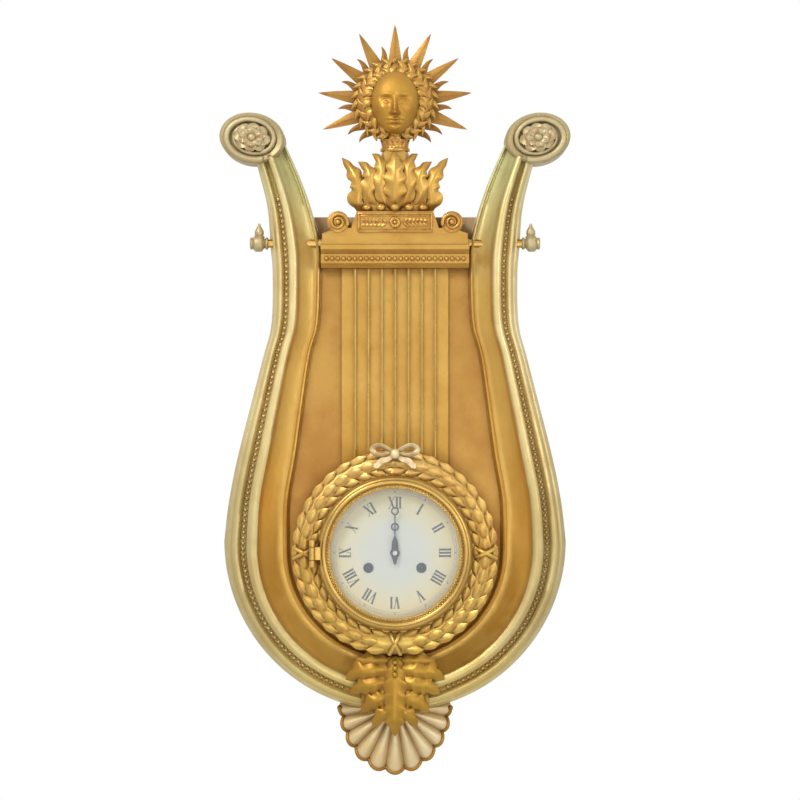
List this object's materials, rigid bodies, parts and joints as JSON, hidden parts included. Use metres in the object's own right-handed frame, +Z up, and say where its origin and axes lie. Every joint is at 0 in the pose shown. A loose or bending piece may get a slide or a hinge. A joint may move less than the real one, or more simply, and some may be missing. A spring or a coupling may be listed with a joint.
{
  "type": "cartel clock",
  "caption": "Giltwood lyre wall clock: sun mask on a leaf crest, strings, white dial in a moulded ring, palmette foot, short pendulum.",
  "frame": {"origin": "back face of the hanging plate, on the clock's centre line", "axes": "+Z up, +Y towards the wall, front faces -Y, +X to the right seen from the front"},
  "size_m": [0.3996, 0.1074, 0.862],
  "materials": {
    "gilt": "water gilding on carved limewood, burnished",
    "gilt_shade": "matt water gilding, darker in the hollows",
    "gilt_pale": "worn pale gilding over gesso",
    "limewood": "bare planed board",
    "brass": "lacquered brass",
    "steel": "polished steel",
    "blued_steel": "dark blued steel",
    "enamel": "white vitreous enamel",
    "glass": "clear flat glass",
    "bell_metal": "turned bell metal"
  },
  "bodies": {
    "case": {"right_arm": "gilt", "left_arm": "gilt", "right_rosette": "gilt_pale", "left_rosette": "gilt_pale", "back_board": "limewood", "sound_board": "gilt_shade", "string_panel": "gilt", "string_1": "brass", "string_2": "brass", "string_3": "brass", "string_4": "brass", "string_5": "brass", "string_6": "brass", "string_7": "brass", "crossbar": "gilt", "crossbar_rod": "brass", "right_knob": "gilt_shade", "left_knob": "gilt_shade", "plinth": "gilt", "leaf_crest": "gilt", "sun_neck": "gilt", "sun_rays": "gilt_shade", "sun_face": "gilt", "bottom_boss": "gilt_shade", "palmette_pendant": "gilt_pale", "case_ring": "gilt", "ribbon_bow": "gilt_pale", "bezel_hinge_pin": "steel", "dial_plate": "brass", "dial": "enamel", "drum": "brass", "pillar_plate": "brass", "back_plate": "brass", "pendulum_cock": "brass", "bell": "bell_metal", "bell_stand": "steel", "rear_cover": "brass", "hanger_plate": "steel"},
    "bezel_door": {"bezel": "brass", "bezel_glass": "glass"},
    "minute_hand": {"minute_hand": "blued_steel", "cannon_pinion": "steel"},
    "hour_hand": {"hour_hand": "blued_steel", "hour_wheel": "brass"},
    "minute_wheel": {"minute_wheel": "brass"},
    "centre_wheel": {"centre_wheel": "brass"},
    "second_wheel": {"second_wheel": "brass"},
    "going_barrel": {"going_barrel": "brass"},
    "going_winding_arbor": {"going_winding_arbor": "steel"},
    "third_wheel": {"third_wheel": "brass"},
    "escape_wheel": {"escape_wheel": "brass"},
    "anchor": {"anchor": "steel"},
    "pendulum": {"pendulum": "brass"},
    "strike_barrel": {"strike_barrel": "brass"},
    "strike_winding_arbor": {"strike_winding_arbor": "steel"},
    "strike_pin_wheel": {"strike_pin_wheel": "brass"},
    "strike_warning_wheel": {"strike_warning_wheel": "brass"},
    "strike_fly": {"strike_fly": "brass"},
    "strike_hammer": {"strike_hammer": "steel"}
  },
  "joints": [
    {"name": "bezel_door", "type": "hinge", "parent": "case", "child": "bezel_door", "pos_m": [-0.09301, -0.104, -0.352], "axis": [0, 0, -1], "range_deg": [0, 110]},
    {"name": "minute_hand", "type": "hinge", "parent": "case", "child": "minute_hand", "pos_m": [0, -0.08, -0.352], "axis": [0, 1, 0], "continuous": true},
    {"name": "hour_hand", "type": "hinge", "parent": "case", "child": "hour_hand", "pos_m": [0, -0.08, -0.352], "axis": [0, 1, 0], "continuous": true},
    {"name": "minute_wheel", "type": "hinge", "parent": "case", "child": "minute_wheel", "pos_m": [0, -0.075, -0.36688], "axis": [0, 1, 0], "continuous": true},
    {"name": "centre_wheel", "type": "hinge", "parent": "case", "child": "centre_wheel", "pos_m": [0, -0.05, -0.352], "axis": [0, 1, 0], "continuous": true},
    {"name": "second_wheel", "type": "hinge", "parent": "case", "child": "second_wheel", "pos_m": [0.01836, -0.05, -0.34421], "axis": [0, 1, 0], "continuous": true},
    {"name": "going_barrel", "type": "hinge", "parent": "case", "child": "going_barrel", "pos_m": [0.0299, -0.05, -0.36895], "axis": [0, 1, 0], "continuous": true},
    {"name": "third_wheel", "type": "hinge", "parent": "case", "child": "third_wheel", "pos_m": [-0.00669, -0.05, -0.3341], "axis": [0, 1, 0], "continuous": true},
    {"name": "escape_wheel", "type": "hinge", "parent": "case", "child": "escape_wheel", "pos_m": [0, -0.05, -0.31829], "axis": [0, 1, 0], "continuous": true},
    {"name": "going_winding_arbor", "type": "hinge", "parent": "case", "child": "going_winding_arbor", "pos_m": [0.0299, -0.05, -0.36895], "axis": [0, 1, 0], "continuous": true},
    {"name": "pendulum_swing", "type": "hinge", "parent": "case", "child": "pendulum", "pos_m": [0, -0.022, -0.302], "axis": [0, 1, 0], "range_deg": [-4, 4]},
    {"name": "anchor_rock", "type": "hinge", "parent": "case", "child": "anchor", "pos_m": [0, -0.03, -0.3053], "axis": [0, 1, 0], "range_deg": [-4, 4]},
    {"name": "strike_pin_wheel", "type": "hinge", "parent": "case", "child": "strike_pin_wheel", "pos_m": [-0.03228, -0.05, -0.34175], "axis": [0, 1, 0], "continuous": true},
    {"name": "strike_barrel", "type": "hinge", "parent": "case", "child": "strike_barrel", "pos_m": [-0.0299, -0.05, -0.36895], "axis": [0, 1, 0], "continuous": true},
    {"name": "strike_warning_wheel", "type": "hinge", "parent": "case", "child": "strike_warning_wheel", "pos_m": [-0.02231, -0.05, -0.32448], "axis": [0, 1, 0], "continuous": true},
    {"name": "strike_fly", "type": "hinge", "parent": "case", "child": "strike_fly", "pos_m": [-0.02391, -0.05, -0.31538], "axis": [0, 1, 0], "continuous": true},
    {"name": "strike_winding_arbor", "type": "hinge", "parent": "case", "child": "strike_winding_arbor", "pos_m": [-0.0299, -0.05, -0.36895], "axis": [0, 1, 0], "continuous": true},
    {"name": "strike_hammer", "type": "hinge", "parent": "case", "child": "strike_hammer", "pos_m": [-0.05301, -0.03, -0.353], "axis": [0, 1, 0], "range_deg": [0, 10]}
  ],
  "couplings": [
    {"joint": "hour_hand", "follows": "minute_hand", "ratio": 0.083333},
    {"joint": "minute_wheel", "follows": "minute_hand", "ratio": -0.33333},
    {"joint": "centre_wheel", "follows": "minute_hand", "ratio": 1},
    {"joint": "second_wheel", "follows": "minute_hand", "ratio": -0.16667},
    {"joint": "going_barrel", "follows": "minute_hand", "ratio": 0.027778},
    {"joint": "third_wheel", "follows": "minute_hand", "ratio": -12},
    {"joint": "escape_wheel", "follows": "minute_hand", "ratio": 144},
    {"joint": "anchor_rock", "follows": "pendulum_swing", "ratio": 1},
    {"joint": "strike_barrel", "follows": "strike_pin_wheel", "ratio": -0.16667},
    {"joint": "strike_warning_wheel", "follows": "strike_pin_wheel", "ratio": -6},
    {"joint": "strike_fly", "follows": "strike_pin_wheel", "ratio": 36}
  ]
}
